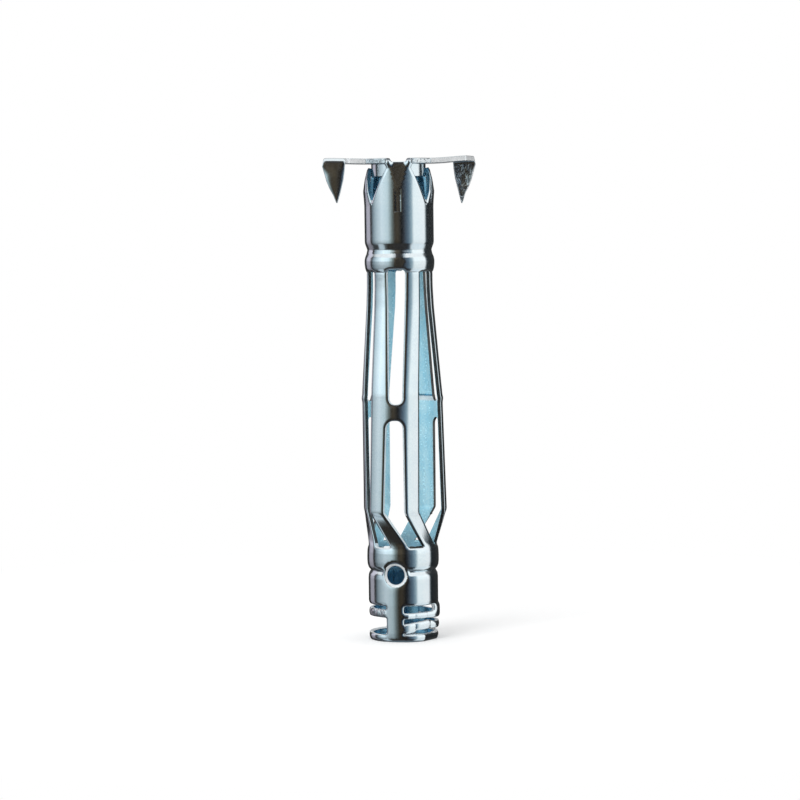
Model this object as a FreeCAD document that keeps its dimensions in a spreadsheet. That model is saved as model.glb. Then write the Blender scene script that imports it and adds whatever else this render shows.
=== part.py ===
# Hollow wall anchor, cut, rolled and folded from one steel sheet: a flange of two arms with claws,
# a sleeve, a cage of three bent panels on six skewed legs, and a threaded end collar.
# The axis is +Z, the end collar stands on z = 0, and the front of the anchor looks along -Y.
# Angles are measured round the axis from the front, towards the right (+X).
import FreeCAD, Part
import math
import os
import Sketcher

os.makedirs("parts", exist_ok=True)
doc = FreeCAD.newDocument("wall_anchor")

# Driving dimensions, in millimetres and degrees
SIZES = {
    # the tube that the sheet is rolled to
    "tube_radius": 4.0,
    "gauge": 0.55,
    "total_height": 56.5,
    # flange: two half plates of flange_radius, each with one arm, parted by a gap at front and back
    "flange_radius": 4.3,
    "flange_gap": 1.9,
    "arm_reach": 8.8,
    "arm_width": 4.4,
    "arm_step": 1.2,
    # lip of each half plate, bent down into the tube
    "lip_radius": 3.15,
    "lip_drop": 2.1,
    "lip_half_angle": 70.0,
    # claw at the far corner of each arm
    "claw_width": 2.6,
    "claw_reach": 5.1,
    "claw_tip_inset": 1.6,
    "claw_bulge": 0.25,
    "claw_root": 1.5,
    # wedge windows that part the front and back petals from the side petals
    "window_depth": 5.1,
    "window_foot": 3.2,
    "petal_half_width": 1.4,
    "back_shoulder_half_width": 3.42,
    "back_shoulder_drop": 2.5,
    # side petals, bulged and then leaning in to a narrow tip
    "side_petal_root_angle": 38.0,
    "side_petal_waist_angle": 29.0,
    "side_petal_tip_angle": 8.0,
    "side_petal_waist_drop": 3.8,
    "side_petal_tip_drop": 1.1,
    "side_petal_bulge": 0.12,
    "side_petal_lean": 0.42,
    # shallow panel pressed into the front of the sleeve
    "press_width": 0.95,
    "press_length": 2.8,
    "press_top_drop": 3.5,
    "press_depth": 0.14,
    "press_shift": -0.14,
    # bead and groove between the sleeve and the cage
    "bead_height": 44.5,
    "bead_rise": 0.06,
    "bead_foot_sink": 0.1,
    "groove_drop": 1.25,
    "groove_sink": 0.23,
    "groove_blend": 1.0,
    # cage of panels, each of two straps and a web, on arcs of cage_radius
    "cage_radius": 3.84,
    "cage_top": 43.4,
    "cage_seat": 0.3,
    "bend_height": 40.3,
    "knee_height": 28.5,
    "ankle_height": 15.3,
    "top_turn": -6.0,
    "knee_turn": 1.6,
    "ankle_turn": 5.3,
    "bend_out": 0.05,
    "knee_out": 1.02,
    "ankle_out": 1.23,
    "knee_shift": -0.53,
    "ankle_shift": -0.92,
    "top_half_angle": 44.3,
    "knee_half_angle": 46.4,
    "ankle_half_angle": 49.0,
    "ankle_slot_left_angle": 23.5,
    "ankle_slot_right_angle": 18.5,
    # slots of a panel, seen square from its front
    "slot_head_left": -1.62,
    "slot_head_right": 0.82,
    "slot_head_corner": 0.35,
    "slot_foot_left": -1.35,
    "slot_foot_right": 0.52,
    "slot_foot_corner": 0.5,
    "web_top": 27.9,
    "web_height": 1.85,
    "leg_slot_left": -1.72,
    "leg_slot_right": 0.56,
    "leg_slot_corner": 0.9,
    # legs, skewed from the ankle down to the end collar
    "foot_height": 11.1,
    "foot_seat": 0.2,
    "foot_sink": 0.06,
    "foot_turn": -5.0,
    "foot_pitch": 59.0,
    "foot_half_angle": 15.0,
    # end collar, a little wider than the sleeve, with its own bead and groove
    "end_radius": 4.05,
    "end_bead_height": 9.5,
    "end_bead_rise": 0.14,
    "end_groove_height": 8.4,
    "end_groove_sink": 0.28,
    "end_groove_blend": 0.75,
    "hole_height": 7.9,
    "hole_radius": 0.98,
    "hole_turn": -13.5,
    # windows across the end collar, left open between a front and a back bridge
    "window_top": 4.27,
    "rim_height": 0.83,
    "rim_sink": 0.1,
    "bridge_turn": -16.3,
    "bridge_half_angle": 13.4,
    "back_bridge_half_angle": 30.0,
    # thread bands pressed inward across the windows, rising like a screw thread
    "band_height": 0.65,
    "low_band_height": 0.95,
    "left_band_height": 0.85,
    "band_pitch": 1.35,
    "band_first": 1.1,
    "band_sink": 0.3,
    "left_band_sink": 0.06,
    "band_tilt": 3.5,
}
sheet = doc.addObject("Spreadsheet::Sheet", "sheet")
for row, (alias, value) in enumerate(SIZES.items(), start=1):
    sheet.set("A%d" % row, alias)
    sheet.set("B%d" % row, str(value))
    sheet.setAlias("B%d" % row, alias)
doc.recompute()

body = doc.addObject("PartDesign::Body", "anchor_sleeve")
body.Label = "anchor_sleeve"
body.AllowCompound = True
doc.recompute()


# Helpers: expressions, sketches and closed outlines

def named(text):
    """An expression with each size written as its cell of the sheet."""
    words = "".join(letter if letter.isalnum() or letter == "_" else " " for letter in text).split()
    for word in sorted(set(words), key=len, reverse=True):
        if word in SIZES:
            text = "sheet.".join(split_word(text, word))
    return text


def split_word(text, word):
    """The text cut before each whole occurrence of the word."""
    pieces = [""]
    place = 0
    while place < len(text):
        before = text[place - 1] if place else " "
        after = text[place + len(word)] if place + len(word) < len(text) else " "
        whole = not (before.isalnum() or before in "_.") and not (after.isalnum() or after == "_")
        if text.startswith(word, place) and whole:
            pieces.append(word)
            place += len(word)
        else:
            pieces[-1] += text[place]
            place += 1
    return pieces


def number(text):
    """The present value of an expression, for a first position in a sketch."""
    value = sheet.evalExpression(named(text))
    return float(getattr(value, "Value", value))


def origin_part(role):
    """A plane or axis of the body's own origin."""
    return [part for part in body.Origin.OriginFeatures if part.Role == role][0]


def new_sketch(name, plane, lift=None, tilt=None):
    """A sketch on an origin plane, lifted along the plane's normal, its right side tilted up."""
    sketch = body.newObject("Sketcher::SketchObject", name)
    sketch.AttachmentSupport = [(origin_part(plane), "")]
    sketch.MapMode = "FlatFace"
    if tilt:
        tilted = FreeCAD.Rotation(FreeCAD.Vector(0, -1, 0), number(tilt))
        sketch.AttachmentOffset = FreeCAD.Placement(FreeCAD.Vector(), tilted)
        sketch.setExpression("AttachmentOffset.Rotation.Angle", named(tilt))
    if lift:
        sketch.setExpression("AttachmentOffset.Base.z", named(lift))
    return sketch


def hold(sketch, kind, geometry, text):
    """A constraint of the sketch whose value is an expression."""
    place = sketch.addConstraint(Sketcher.Constraint(kind, *geometry, number(text)))
    sketch.setExpression("Constraints[%d]" % place, named(text))


def hold_point(sketch, geometry, point, across=None, upward=None):
    """Hold a point by its distances from the sketch's origin."""
    if across is not None:
        hold(sketch, "DistanceX", (-1, 1, geometry, point), across)
    if upward is not None:
        hold(sketch, "DistanceY", (-1, 1, geometry, point), upward)


def outline(sketch, corners, bulges=None):
    """A closed outline through corners; bulges gives a side's rise to the right of its direction."""
    bulges = bulges or {}
    places = [FreeCAD.Vector(number(across), number(upward), 0) for across, upward in corners]
    ends = []
    for side, start in enumerate(places):
        stop = places[(side + 1) % len(places)]
        if side in bulges:
            along = (stop - start).normalize()
            aside = FreeCAD.Vector(along.y, -along.x, 0)
            rise = number(bulges[side])
            arc = Part.Arc(start, (start + stop) * 0.5 + aside * rise, stop)
            geometry = sketch.addGeometry(arc, False)
            # an arc runs anticlockwise, so its first point is the side's start only on one hand
            first, last = (1, 2) if rise > 0 else (2, 1)
            reach = "sqrt((%s - (%s))^2 + (%s - (%s))^2)" % (
                corners[side][0], corners[(side + 1) % len(corners)][0],
                corners[side][1], corners[(side + 1) % len(corners)][1])
            rise_text = "abs(%s)" % bulges[side]
            hold(sketch, "Radius", (geometry,), "(%s)^2 / (8 * %s) + %s / 2" % (reach, rise_text, rise_text))
        else:
            geometry = sketch.addGeometry(Part.LineSegment(start, stop), False)
            first, last = 1, 2
        ends.append((geometry, first, last))
    for side, (geometry, first, last) in enumerate(ends):
        after, after_first, _ = ends[(side + 1) % len(ends)]
        sketch.addConstraint(Sketcher.Constraint("Coincident", geometry, last, after, after_first))
        hold_point(sketch, geometry, first, corners[side][0], corners[side][1])


def sector(sketch, outer, inner, out, shift, first, last):
    """A slice of a ring whose centre lies out in front of the axis and shift to its right."""
    centre = FreeCAD.Vector(number(shift), -number(out), 0)
    start = math.radians(number(first) - 90)
    stop = math.radians(number(last) - 90)
    arcs = []
    for radius in (outer, inner):
        circle = Part.Circle(centre, FreeCAD.Vector(0, 0, 1), number(radius))
        arcs.append(sketch.addGeometry(Part.ArcOfCircle(circle, start, stop), False))
    corners = [[centre + FreeCAD.Vector(math.cos(angle), math.sin(angle), 0) * number(radius)
                for angle in (start, stop)] for radius in (outer, inner)]
    left = sketch.addGeometry(Part.LineSegment(corners[1][0], corners[0][0]), False)
    right = sketch.addGeometry(Part.LineSegment(corners[0][1], corners[1][1]), False)
    for joint in ((left, 2, arcs[0], 1), (arcs[0], 2, right, 1), (right, 2, arcs[1], 2),
                  (arcs[1], 1, left, 1), (arcs[0], 3, arcs[1], 3)):
        sketch.addConstraint(Sketcher.Constraint("Coincident", *joint))
    hold_point(sketch, arcs[0], 3, shift, "-(%s)" % out)
    for arc, radius in zip(arcs, (outer, inner)):
        hold(sketch, "Radius", (arc,), radius)
        for point, angle in ((1, first), (2, last)):
            if abs(math.sin(math.radians(number(angle)))) < 0.8:
                hold_point(sketch, arc, point, across="%s + (%s) * sin(%s)" % (shift, radius, angle))
            else:
                hold_point(sketch, arc, point, upward="-(%s) - (%s) * cos(%s)" % (out, radius, angle))
    return sketch


def rounded_slot(sketch, foot, head):
    """A tapered slot with round corners; foot and head each give height, left, right and corner radius."""
    corners = [(foot[1], foot[0], foot[3]), (foot[2], foot[0], foot[3]),
               (head[2], head[0], head[3]), (head[1], head[0], head[3])]
    places = [FreeCAD.Vector(number(across), number(upward), 0) for across, upward, _ in corners]
    arcs = []
    for index, (_, _, radius) in enumerate(corners):
        to_before = (places[index - 1] - places[index]).normalize()
        to_after = (places[(index + 1) % 4] - places[index]).normalize()
        half = to_before.getAngle(to_after) / 2
        reach = number(radius) / math.tan(half)
        centre = places[index] + (to_before + to_after).normalize() * (number(radius) / math.sin(half))
        middle = centre - (to_before + to_after).normalize() * number(radius)
        arc = Part.Arc(places[index] + to_before * reach, middle, places[index] + to_after * reach)
        arcs.append(sketch.addGeometry(arc, False))
    sides = []
    for index in range(4):
        start = sketch.getPoint(arcs[index], 2)
        stop = sketch.getPoint(arcs[(index + 1) % 4], 1)
        sides.append(sketch.addGeometry(Part.LineSegment(start, stop), False))
        sketch.addConstraint(Sketcher.Constraint("Tangent", arcs[index], 2, sides[index], 1))
        sketch.addConstraint(Sketcher.Constraint("Tangent", sides[index], 2, arcs[(index + 1) % 4], 1))
    for arc, (_, _, radius) in zip(arcs, corners):
        hold(sketch, "Radius", (arc,), radius)
    # the slanted sides aim through the sharp corners, and the two ends are level
    for side in (0, 2):
        sketch.addConstraint(Sketcher.Constraint("Horizontal", sides[side]))
        hold_point(sketch, sides[side], 1, upward=corners[side][1])
    for side in (1, 3):
        for end in (side, (side + 1) % 4):
            mark = sketch.addGeometry(Part.Point(places[end]), True)
            hold_point(sketch, mark, 1, corners[end][0], corners[end][1])
            sketch.addConstraint(Sketcher.Constraint("PointOnObject", mark, 1, sides[side]))


def feature(kind, name, profile, **settings):
    """A feature of the body on one sketch; a text setting is an expression in the sheet's sizes."""
    made = body.newObject("PartDesign::" + kind, name)
    made.Profile = profile
    for key, value in settings.items():
        if isinstance(value, str) and key in ("Length", "Length2"):
            made.setExpression(key, named(value))
        else:
            setattr(made, key, value)
    profile.Visibility = False
    return made


def loft(name, sections):
    """A ruled solid through the sections, in order."""
    made = body.newObject("PartDesign::AdditiveLoft", name)
    made.Profile = sections[0]
    made.Sections = sections[1:]
    made.Ruled = True
    return made


def pattern(name, originals, copies):
    """The features repeated evenly round the axis."""
    made = body.newObject("PartDesign::PolarPattern", name)
    made.Originals = originals
    made.Axis = (origin_part("Z_Axis"), [""])
    made.Angle = 360
    made.Occurrences = copies
    body.Tip = made
    return made


# Sleeve with its groove and bead, turned about the axis

PLATE_FLOOR = "total_height - gauge"
SLEEVE_OUTSIDE = [
    ("0", "total_height - gauge * 0.9"),
    ("0", "bead_height + groove_drop + groove_blend"),
    ("-groove_sink", "bead_height + groove_drop"),
    ("bead_rise", "bead_height"),
    ("-bead_foot_sink", "cage_top"),
]


def turned_wall(name, radius, outside, bulges):
    """A wall of the sheet's gauge, turned about the axis, from its outside profile off a radius."""
    sketch = new_sketch(name + "_profile", "XZ_Plane")
    outer = [("%s + (%s)" % (radius, rise), height) for rise, height in outside]
    inner = [("%s - gauge + (%s)" % (radius, rise), height) for rise, height in reversed(outside)]
    mirrored = {2 * len(outside) - 2 - side: "-(%s)" % rise for side, rise in bulges.items()}
    outline(sketch, outer + inner, {**bulges, **mirrored})
    made = feature("Revolution", name, sketch)
    made.ReferenceAxis = (sketch, ["V_Axis"])
    made.Angle = 360
    return made


sleeve = turned_wall("sleeve", "tube_radius", SLEEVE_OUTSIDE, {2: "-0.07", 3: "-0.05"})
doc.recompute()

# Wedge windows through the tube top; the back petal keeps its width up to its shoulders

WINDOW_SILL = "total_height - window_depth"
FRONT_EDGE = [("window_foot", WINDOW_SILL), ("petal_half_width", "total_height")]
BACK_EDGE = [FRONT_EDGE[0], ("back_shoulder_half_width", "total_height - back_shoulder_drop"), FRONT_EDGE[1]]
WINDOW_BEYOND = [("tube_radius + 1", "total_height"), ("tube_radius + 1", WINDOW_SILL)]
for face, edge in (("front", FRONT_EDGE), ("back", BACK_EDGE)):
    for side, sign in (("left", "-"), ("right", "")):
        name = "%s_window_%s" % (face, side)
        sketch = new_sketch(name + "_outline", "XZ_Plane")
        outline(sketch, [("%s(%s)" % (sign, across), height) for across, height in edge + WINDOW_BEYOND])
        feature("Pocket", name, sketch, Reversed=(face == "front"), Length="2 * tube_radius")
        doc.recompute()

# Side petals, bulged outward and then leaning in over the lips

petal_sections = [
    new_sketch("side_petal_root", "XY_Plane", WINDOW_SILL + " - gauge / 2"),
    new_sketch("side_petal_waist", "XY_Plane", "total_height - side_petal_waist_drop"),
    new_sketch("side_petal_tip", "XY_Plane", "total_height - side_petal_tip_drop"),
]
for sketch, outward, half_angle in zip(petal_sections, ("0", "side_petal_bulge", "-side_petal_lean"),
                                       ("root", "waist", "tip")):
    angle = "side_petal_%s_angle" % half_angle
    sector(sketch, "tube_radius", "tube_radius - gauge", "0", outward, "90 - " + angle, "90 + " + angle)
side_petal = loft("side_petal", petal_sections)
doc.recompute()
side_petals = pattern("side_petals", [side_petal], 2)
doc.recompute()

# Flange plate with its arms, cut through for the screw and parted by the gap

flange_outline = new_sketch("flange_outline", "XY_Plane", PLATE_FLOOR)
rim = flange_outline.addGeometry(Part.Circle(FreeCAD.Vector(), FreeCAD.Vector(0, 0, 1), number("flange_radius")))
flange_outline.addConstraint(Sketcher.Constraint("Coincident", rim, 3, -1, 1))
hold(flange_outline, "Radius", (rim,), "flange_radius")
flange_round = feature("Pad", "flange_round", flange_outline, Length="gauge")
arms_outline = new_sketch("arms_outline", "XY_Plane", PLATE_FLOOR)
outline(arms_outline, [("-arm_reach", "-arm_width / 2"), ("arm_reach - arm_step", "-arm_width / 2"),
                       ("arm_reach", "arm_width / 2"), ("-arm_reach + arm_step", "arm_width / 2")])
arms = feature("Pad", "arms", arms_outline, Length="gauge")
bore_outline = new_sketch("bore_outline", "XY_Plane", "total_height")
bore = bore_outline.addGeometry(Part.Circle(FreeCAD.Vector(), FreeCAD.Vector(0, 0, 1), number("lip_radius")))
bore_outline.addConstraint(Sketcher.Constraint("Coincident", bore, 3, -1, 1))
hold(bore_outline, "Radius", (bore,), "lip_radius - gauge")
feature("Pocket", "flange_bore", bore_outline, Length="gauge")
gap_outline = new_sketch("gap_outline", "XY_Plane", "total_height")
outline(gap_outline, [("-flange_gap / 2", "-flange_radius - 1"), ("flange_gap / 2", "-flange_radius - 1"),
                      ("flange_gap / 2", "flange_radius + 1"), ("-flange_gap / 2", "flange_radius + 1")])
feature("Pocket", "flange_parting", gap_outline, Length="gauge")
doc.recompute()

# Lip and claw of one half of the flange, then both halves

lip_outline = new_sketch("lip_outline", "XY_Plane", "total_height - gauge / 2")
sector(lip_outline, "lip_radius", "lip_radius - gauge", "0", "0", "90 - lip_half_angle", "90 + lip_half_angle")
lip = feature("Pad", "lip", lip_outline, Length="lip_drop - gauge / 2", Reversed=True)
claw_outline = new_sketch("claw_outline", "XZ_Plane", "arm_width / 2")
outline(claw_outline, [("-arm_reach", "total_height - gauge / 2"),
                       ("-arm_reach + claw_tip_inset", "total_height - claw_reach"),
                       ("-arm_reach + claw_width * 0.93", "total_height - claw_root"),
                       ("-arm_reach + claw_width", "total_height - gauge / 2")], {0: "claw_bulge"})
claw = feature("Pad", "claw", claw_outline, Length="gauge", Reversed=True)
doc.recompute()
pattern("flange_halves", [lip, claw], 2)
doc.recompute()

# End collar with its bead, groove and rim

END_OUTSIDE = [
    ("0", "foot_height"),
    ("end_bead_rise", "end_bead_height"),
    ("-end_groove_sink", "end_groove_height"),
    ("0", "end_groove_height - end_groove_blend"),
    ("0", "rim_height"),
    ("-rim_sink", "rim_height - rim_sink"),
    ("-rim_sink", "0"),
]
turned_wall("end_collar", "end_radius", END_OUTSIDE, {0: "-0.05", 1: "-0.08"})
doc.recompute()

# Panel of the cage, through its sections from the bead down to the ankle

SECTIONS = [
    ("seat", "cage_top + cage_seat", "0", "0", "top_turn", "top_half_angle"),
    ("bend", "bend_height", "bend_out", "0", "top_turn", "top_half_angle"),
    ("knee", "knee_height", "knee_out", "knee_shift", "knee_turn", "knee_half_angle"),
    ("ankle", "ankle_height", "ankle_out", "ankle_shift", "ankle_turn", "ankle_half_angle"),
]
panel_sections = []
for place, height, out, shift, turn, half_angle in SECTIONS:
    sketch = new_sketch("panel_" + place, "XY_Plane", height)
    sector(sketch, "cage_radius", "cage_radius - gauge", out, shift,
           "%s - %s" % (turn, half_angle), "%s + %s" % (turn, half_angle))
    panel_sections.append(sketch)
panel = loft("panel", panel_sections)
doc.recompute()

# Slots of the panel, above and below its web

slot_outline = new_sketch("slot_outline", "XZ_Plane")
rounded_slot(slot_outline, ("web_top", "slot_foot_left", "slot_foot_right", "slot_foot_corner"),
             ("cage_top", "slot_head_left", "slot_head_right", "slot_head_corner"))
slot = feature("Pocket", "slot", slot_outline, Reversed=True, Length="2 * tube_radius")
leg_slot_outline = new_sketch("leg_slot_outline", "XZ_Plane")
ANKLE_EDGE = "ankle_shift + cage_radius * sin(ankle_turn %s)"
rounded_slot(leg_slot_outline,
             ("ankle_height - 1", ANKLE_EDGE % "- ankle_slot_left_angle",
              ANKLE_EDGE % "+ ankle_slot_right_angle", "0.1"),
             ("web_top - web_height", "leg_slot_left", "leg_slot_right", "leg_slot_corner"))
leg_slot = feature("Pocket", "leg_slot", leg_slot_outline, Reversed=True, Length="2 * tube_radius")
doc.recompute()

# Legs of the panel, each from a strap at the ankle to its foot on the end collar

legs = []
for index, (side, first, last) in enumerate((("left", "-ankle_half_angle", "-ankle_slot_left_angle"),
                                             ("right", "ankle_slot_right_angle", "ankle_half_angle"))):
    ankle = new_sketch("leg_%s_ankle" % side, "XY_Plane", "ankle_height")
    sector(ankle, "cage_radius", "cage_radius - gauge", "ankle_out", "ankle_shift",
           "ankle_turn + (%s)" % first, "ankle_turn + (%s)" % last)
    foot = new_sketch("leg_%s_foot" % side, "XY_Plane", "foot_height - foot_seat")
    turn = "foot_turn + foot_pitch * %d" % index
    sector(foot, "end_radius - foot_sink", "end_radius - foot_sink - gauge", "0", "0",
           "%s - foot_half_angle" % turn, "%s + foot_half_angle" % turn)
    legs.append(loft("leg_" + side, [ankle, foot]))
doc.recompute()
pattern("cage", [panel, slot, leg_slot] + legs, 3)
doc.recompute()

# Windows of the end collar, between its front and back bridges

for side, first, last in (
        ("right", "bridge_turn + bridge_half_angle", "180 - back_bridge_half_angle"),
        ("left", "-180 + back_bridge_half_angle", "bridge_turn - bridge_half_angle")):
    sketch = new_sketch("end_window_%s_outline" % side, "XY_Plane", "window_top")
    sector(sketch, "end_radius + 1", "end_radius - gauge - 1", "0", "0", first, last)
    feature("Pocket", "end_window_" + side, sketch, Length="window_top - rim_height")
doc.recompute()

# Thread bands across the windows

RIGHT_SPAN = ("bridge_turn", "184 - back_bridge_half_angle")
LEFT_SPAN = ("-184 + back_bridge_half_angle", "bridge_turn")
bands = (("right_high", "band_first + band_pitch", "band_height", "band_sink", RIGHT_SPAN),
         ("right_low", "band_first", "low_band_height", "band_sink", RIGHT_SPAN),
         ("left_high", "band_first + band_pitch * 1.5", "left_band_height", "left_band_sink", LEFT_SPAN))
for name, lift, height, sink, span in bands:
    sketch = new_sketch("band_%s_outline" % name, "XY_Plane", lift, "band_tilt")
    sector(sketch, "end_radius - " + sink, "end_radius - gauge - " + sink, "0", "0", *span)
    feature("Pad", "band_" + name, sketch, Length=height)
    doc.recompute()

# Round hole at the front of the end collar

hole_outline = new_sketch("hole_outline", "XZ_Plane")
hole = hole_outline.addGeometry(Part.Circle(FreeCAD.Vector(number("end_radius * sin(hole_turn)"),
                                                           number("hole_height"), 0),
                                            FreeCAD.Vector(0, 0, 1), number("hole_radius")))
hold_point(hole_outline, hole, 3, "end_radius * sin(hole_turn)", "hole_height")
hold(hole_outline, "Radius", (hole,), "hole_radius")
feature("Pocket", "hole", hole_outline, Reversed=True, Length="2 * tube_radius")
doc.recompute()

# Shallow pressed panel at the front of the sleeve

press_outline = new_sketch("press_outline", "XZ_Plane", "tube_radius")
press_left = "press_shift - press_width / 2"
press_right = "press_shift + press_width / 2"
PRESS_TOP = "total_height - press_top_drop"
outline(press_outline, [(press_left, PRESS_TOP + " - press_length"), (press_right, PRESS_TOP + " - press_length"),
                        (press_right, PRESS_TOP), (press_left, PRESS_TOP)])
press = feature("Pocket", "pressed_panel", press_outline, Length="press_depth")
doc.recompute()
body.Tip = press
doc.recompute()

# Check every object, then write the part

for item in doc.Objects:
    if "Invalid" in item.State or "Error" in item.State:
        raise RuntimeError("%s failed: %s" % (item.Name, item.State))
shape = body.Shape
if shape.isNull() or not shape.isValid():
    raise RuntimeError("anchor_sleeve has no valid shape")
if len(shape.Solids) != 1:
    raise RuntimeError("anchor_sleeve is not one solid but %d" % len(shape.Solids))
shape.exportStep("parts/%s.step" % body.Label)
print("anchor_sleeve: volume %.1f mm3, faces %d" % (shape.Volume, len(shape.Faces)))
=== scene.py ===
"""Looks of the hollow wall anchor: one bright zinc-plated steel sheet, cut, rolled, pressed and folded.

The sheet is drawn flat, as the cut blank, then rolled and bent by formulas, so that its cut edges, its
creases and its pressed beads are real geometry. Lengths are in millimetres until a mesh is made.
Angles are in degrees round the axis, from the front (-Y) towards the right (+X).
"""

import math

import bpy
import numpy as np
from mathutils import Matrix, Vector
from mathutils.geometry import delaunay_2d_cdt
from mathutils.kdtree import KDTree

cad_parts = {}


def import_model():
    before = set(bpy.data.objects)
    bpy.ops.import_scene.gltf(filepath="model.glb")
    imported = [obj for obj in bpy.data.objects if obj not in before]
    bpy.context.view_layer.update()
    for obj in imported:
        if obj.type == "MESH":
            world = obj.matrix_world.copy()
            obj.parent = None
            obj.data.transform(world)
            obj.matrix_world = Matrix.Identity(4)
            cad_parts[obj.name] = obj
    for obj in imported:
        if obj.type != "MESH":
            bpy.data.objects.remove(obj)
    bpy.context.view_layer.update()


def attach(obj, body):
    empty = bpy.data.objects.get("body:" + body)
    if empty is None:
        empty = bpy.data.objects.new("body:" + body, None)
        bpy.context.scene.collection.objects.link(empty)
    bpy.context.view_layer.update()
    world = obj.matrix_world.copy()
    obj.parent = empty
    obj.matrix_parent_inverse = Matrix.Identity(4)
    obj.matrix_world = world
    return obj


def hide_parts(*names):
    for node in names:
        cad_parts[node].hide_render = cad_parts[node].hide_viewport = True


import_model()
scene = bpy.context.scene

MM = 0.001

# Sizes that the part itself has
GAUGE = 0.55
TUBE_RADIUS = 4.0
TOTAL_HEIGHT = 56.5

# Rounding of the sheared edges, and the spacing of the mesh along them and across the sheet
EDGE_ROUND = 0.09
EDGE_TURNS = ((1, (50, 20, 0)), (-1, (0, 20, 50)))
SLOPE_STEP = 0.004
EDGE_STEP = 0.2
ACROSS_STEP = 0.3
CLEAR_OF_EDGE = 0.05
CLEAR_OF_ROWS = 0.08
CLEAR_SHARE = 0.45
CLOSEST_ROWS = 0.12

# The outside of the sheet rolls over towards every sheared edge, by this drop over this width
ROLL_WIDTH = 0.32
ROLL_DROP = 0.065
ROLL_ROWS = (0.17, 0.25, 0.34, 0.43)
FINE_STEPS = 8

# Outside radius of the sleeve and of the end collar at each height, before a little smoothing
SLEEVE_RADIUS = 4.06
SLEEVE_PROFILE = [
    (42.5, 3.84), (43.1, 3.855), (43.36, 3.83), (43.5, 3.96), (43.8, 4.05), (44.2, 4.10), (44.6, 4.11),
    (44.95, 4.05), (45.42, 3.855), (45.5, 3.855), (45.85, 3.77), (46.0, 3.79), (46.6, 4.01),
    (46.75, 4.05), (47.0, SLEEVE_RADIUS), (57.0, SLEEVE_RADIUS)]
COLLAR_PROFILE = [
    (0.0, 3.95), (0.25, 4.04), (0.6, 4.09), (1.0, 4.11), (7.3, 4.11), (7.7, 4.06), (8.02, 3.87),
    (8.18, 3.76), (8.3, 3.82), (8.62, 4.09), (8.85, 4.18), (9.3, 4.23), (9.8, 4.23), (10.4, 4.21),
    (11.1, 4.13), (11.6, 4.09)]
PROFILE_STEP = 0.01
PROFILE_SMOOTHING = 0.1

# Cage panel: centre, turn and half angle of its arc at the ankle, the knee, the bend and the seat
CAGE_RADIUS = 3.84
CAGE_TOP = 43.4
BEAD_FOOT = 42.6
BEND_HEIGHT = 40.3
KNEE = 29.05
ANKLE = 15.3
FOOT = 11.1
CAGE_HEIGHTS = [ANKLE, KNEE, BEND_HEIGHT, CAGE_TOP]
CAGE_OUT = [1.23, 1.02, 0.05, 0.0]
CAGE_SHIFT = [-0.92, -0.53, 0.0, 0.0]
CAGE_TURN = [5.3, 1.6, -6.0, -6.0]
CAGE_HALF = [49.0, 46.4, 44.3, 44.3]
CAGE_LEAN = [(FOOT, 0.0), (ANKLE, 0.13), (30.0, 0.13), (40.0, 0.0)]
LEFT_SPREAD = [(FOOT, 0.0), (ANKLE, 4.5), (30.0, 4.0), (43.0, 1.5)]

# Rounding of the folds, the wider one of the bend, and the crease pressed into the back panels
FOLD_BLEND = 0.2
FOLD_SAMPLES = 7
FOLD_TOP = 42.9
BEND_BLEND = 1.8
BEND_REACH = 1.6
RIDGE_HEIGHT = 28.4
RIDGE_RISE = 0.1
RIDGE_REACH = 0.4

# Legs: share of the ankle's half angle that each leg takes, and its foot on the end collar
LEG_SHARES = np.array([(-1.0, -23.5 / 49.0), (18.5 / 49.0, 1.0)])
LEG_SPLIT = -0.05
FOOT_TURN = -5.0
FOOT_PITCH = 59.0
FOOT_HALF_ANGLE = 15.0
LEG_FLAT = 0.8
FLAT_FROM = (0.0, 0.1)
FLAT_UNTIL = (0.85, 1.0)
LEG_MARGIN = 0.7
FOOT_MARGIN = 0.56
MIDDLE_HEIGHT = 30.0

# Seams of the rolled sheet at the back, one in the sleeve and one in the end collar
SLEEVE_SEAM = 174.0
COLLAR_SEAM = 200.0
SEAM_CORNER = 0.3

# Finishes of the sheet's faces, and those of the bands round a cut edge, from outside to inside; the
# pale cut finish also paints highlights, and two darker finishes paint shade in the bore and on the
# side edges
OUTSIDE, INSIDE, CUT_AND_HIGHLIGHT, DEEP_SHADE, CLAW, EDGE_SHADE = range(6)
EDGE_KINDS = (OUTSIDE, OUTSIDE, CUT_AND_HIGHLIGHT, CUT_AND_HIGHLIGHT, CUT_AND_HIGHLIGHT, INSIDE, INSIDE)


def unrolled(angle):
    """Length along the sheet of an angle round the axis."""
    return np.radians(angle) * TUBE_RADIUS


def angle_of(length):
    """Angle round the axis of a length along the sheet."""
    return np.degrees(np.asarray(length) / TUBE_RADIUS)


def read_off(value, knots):
    """Value read off a table of (place, value) pairs."""
    return np.interp(value, [knot[0] for knot in knots], [knot[1] for knot in knots])


def smooth_table(knots):
    """Radius by height through the knots, with their corners rounded."""
    heights = np.arange(knots[0][0] - 1, knots[-1][0] + 1, PROFILE_STEP)
    window = np.hanning(int(2 * PROFILE_SMOOTHING / PROFILE_STEP) + 1)
    padded = np.pad(read_off(heights, knots), len(window) // 2, mode="edge")
    return heights, np.convolve(padded, window / window.sum(), mode="valid")


SLEEVE_TABLE = smooth_table(SLEEVE_PROFILE)
COLLAR_TABLE = smooth_table(COLLAR_PROFILE)


def ramp(value, start, stop):
    """From 0 at start to 1 at stop, smoothly."""
    share = np.clip((value - start) / (stop - start), 0, 1)
    return share * share * (3 - 2 * share)


def wrapped(angle):
    """The angle between -180 and 180."""
    return (np.asarray(angle) + 180.0) % 360.0 - 180.0


# Petals at the top of the sleeve

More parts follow.
